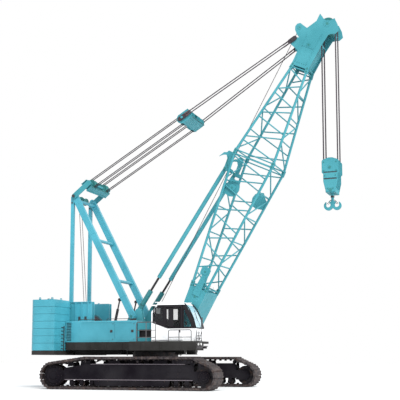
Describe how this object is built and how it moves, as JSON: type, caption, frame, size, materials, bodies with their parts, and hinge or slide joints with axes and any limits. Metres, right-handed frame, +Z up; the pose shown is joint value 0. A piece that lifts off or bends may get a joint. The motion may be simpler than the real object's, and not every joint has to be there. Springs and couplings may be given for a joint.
{
  "type": "crawler crane",
  "caption": "Lattice-boom crawler crane with tracks, slewing upper, side cab, counterweights, gantry with luffing tackle and pendants, backstops and a hook block.",
  "frame": {"origin": "on the ground under the middle of the whole crane as it stands", "axes": "+X forward along the tracks and the boom, +Y to the operator's left, +Z up"},
  "size_m": [13.9582, 6.9, 16.6508],
  "materials": {
    "undercarriage_paint": "satin dark grey paint with road film",
    "track_steel": "dull cast steel shoes with dust",
    "wheel_steel": "dark cast steel",
    "ring_steel": "greased dark steel",
    "frame_paint": "satin black-grey paint",
    "teal_paint": "semi-gloss blue-green enamel",
    "dark_teal_paint": "semi-gloss deep blue-green enamel",
    "engine_iron": "plain block that stands for the engine",
    "drum_steel": "painted drums and brackets",
    "cab_paint": "gloss white enamel",
    "glass": "dark tinted safety glass",
    "seat_fabric": "woven seat cloth",
    "rail_paint": "grey painted tube",
    "cylinder_steel": "dark oiled steel",
    "sheave_iron": "painted cast sheaves",
    "rope_wire": "greased wire rope",
    "hook_steel": "blue-green enamel on forged steel"
  },
  "bodies": {
    "undercarriage": {"carbody": "undercarriage_paint", "axle_beams": "undercarriage_paint", "crawler_frame_right": "undercarriage_paint", "crawler_frame_left": "undercarriage_paint", "track_right": "track_steel", "track_left": "track_steel", "track_wheels": "wheel_steel", "track_rollers_right": "wheel_steel", "track_rollers_left": "wheel_steel"},
    "upper": {"slewing_ring": "ring_steel", "revolving_frame": "frame_paint", "foot_brackets": "frame_paint", "counterweight_tray": "frame_paint", "counterweight_stack_right": "teal_paint", "counterweight_stack_left": "teal_paint", "rear_tower": "teal_paint", "house_right": "teal_paint", "house_left": "teal_paint", "engine_block": "engine_iron", "winch_drums": "drum_steel", "winch_brackets": "drum_steel", "cab_shell": "cab_paint", "cab_glass": "glass", "cab_seat": "seat_fabric", "cab_platform": "frame_paint", "handrails": "rail_paint", "mast_brackets": "teal_paint", "gantry_legs": "teal_paint", "rear_links": "teal_paint", "gantry_cylinders": "cylinder_steel"},
    "cab_door": {"cab_door": "cab_paint"},
    "house_door_right_rear": {"house_door_right_rear": "teal_paint"},
    "house_door_right_front": {"house_door_right_front": "teal_paint"},
    "house_door_left_rear": {"house_door_left_rear": "teal_paint"},
    "house_door_left_front": {"house_door_left_front": "teal_paint"},
    "boom": {"boom_foot": "teal_paint", "boom_base_chords": "teal_paint", "boom_base_lacing": "teal_paint", "boom_top_chords": "teal_paint", "boom_top_lacing": "teal_paint", "boom_head": "teal_paint", "head_sheaves": "sheave_iron", "pendant_rests": "teal_paint", "backstop_ears": "teal_paint"},
    "backstop_bases": {"backstop_barrels": "dark_teal_paint", "backstop_rods": "cylinder_steel"},
    "backstop_sleeves": {"backstop_tubes": "teal_paint"},
    "luffing_tackle": {"spreader": "teal_paint", "tackle_sheaves": "sheave_iron", "luffing_ropes": "rope_wire"},
    "bridle": {"bridle": "teal_paint", "bridle_sheaves": "sheave_iron", "pendants": "rope_wire"},
    "falls": {"hoist_falls": "rope_wire"},
    "hook_block": {"hook_block": "teal_paint", "hook_block_sheaves": "sheave_iron"},
    "hook": {"hook": "hook_steel"}
  },
  "joints": [
    {"name": "swing", "type": "hinge", "parent": "undercarriage", "child": "upper", "pos_m": [-1.91907, 0, 1.35], "axis": [0, 0, 1], "continuous": true},
    {"name": "boom_luff", "type": "hinge", "parent": "upper", "child": "boom", "pos_m": [-0.56907, 0, 2.2], "axis": [0, 1, 0], "range_deg": [-15, 35]},
    {"name": "backstop_tilt", "type": "hinge", "parent": "upper", "child": "backstop_bases", "pos_m": [-2.41907, 0, 3.6], "axis": [0, 1, 0], "range_deg": [-14.7, 34.28]},
    {"name": "backstop_slide", "type": "slide", "parent": "backstop_bases", "child": "backstop_sleeves", "axis": [0.553, 0, 0.8332], "range_m": [-0.6029, 1.3934]},
    {"name": "tackle_tilt", "type": "hinge", "parent": "upper", "child": "luffing_tackle", "pos_m": [-5.71907, 0, 9], "axis": [0, 1, 0], "range_deg": [-12.96, 30.23]},
    {"name": "bridle_slide", "type": "slide", "parent": "luffing_tackle", "child": "bridle", "axis": [0.8496, 0, 0.5274], "range_m": [-2.1715, 5.0535], "deforming": ["luffing_ropes"]},
    {"name": "falls_plumb", "type": "hinge", "parent": "boom", "child": "falls", "pos_m": [6.46847, 0, 16.14207], "axis": [0, 1, 0], "range_deg": [-36, 16]},
    {"name": "hoist", "type": "slide", "parent": "falls", "child": "hook_block", "axis": [0, 0, 1], "range_m": [-7.2, 3.4], "deforming": ["hoist_falls"]},
    {"name": "hook_swivel", "type": "hinge", "parent": "hook_block", "child": "hook", "pos_m": [6.46847, 0, 8.64], "axis": [0, 0, 1], "continuous": true},
    {"name": "cab_door_slide", "type": "slide", "parent": "upper", "child": "cab_door", "axis": [-1, 0, 0], "range_m": [0, 0.6]},
    {"name": "house_door_right_rear_hinge", "type": "hinge", "parent": "upper", "child": "house_door_right_rear", "pos_m": [-4.94907, -1.7, 2.56], "axis": [0, 0, -1], "range_deg": [0, 105]},
    {"name": "house_door_right_front_hinge", "type": "hinge", "parent": "upper", "child": "house_door_right_front", "pos_m": [-3.16907, -1.7, 2.56], "axis": [0, 0, -1], "range_deg": [0, 105]},
    {"name": "house_door_left_rear_hinge", "type": "hinge", "parent": "upper", "child": "house_door_left_rear", "pos_m": [-4.94907, 1.7, 2.56], "axis": [0, 0, 1], "range_deg": [0, 105]},
    {"name": "house_door_left_front_hinge", "type": "hinge", "parent": "upper", "child": "house_door_left_front", "pos_m": [-3.16907, 1.7, 2.56], "axis": [0, 0, 1], "range_deg": [0, 105]}
  ],
  "couplings": [
    {"joint": "backstop_tilt", "follows": "boom_luff", "ratio": 0.9695},
    {"joint": "backstop_slide", "follows": "boom_luff", "m_per_rad": 2.2423},
    {"joint": "tackle_tilt", "follows": "boom_luff", "ratio": 0.8549},
    {"joint": "bridle_slide", "follows": "boom_luff", "m_per_rad": 8.1746},
    {"joint": "falls_plumb", "follows": "boom_luff", "ratio": -1}
  ]
}
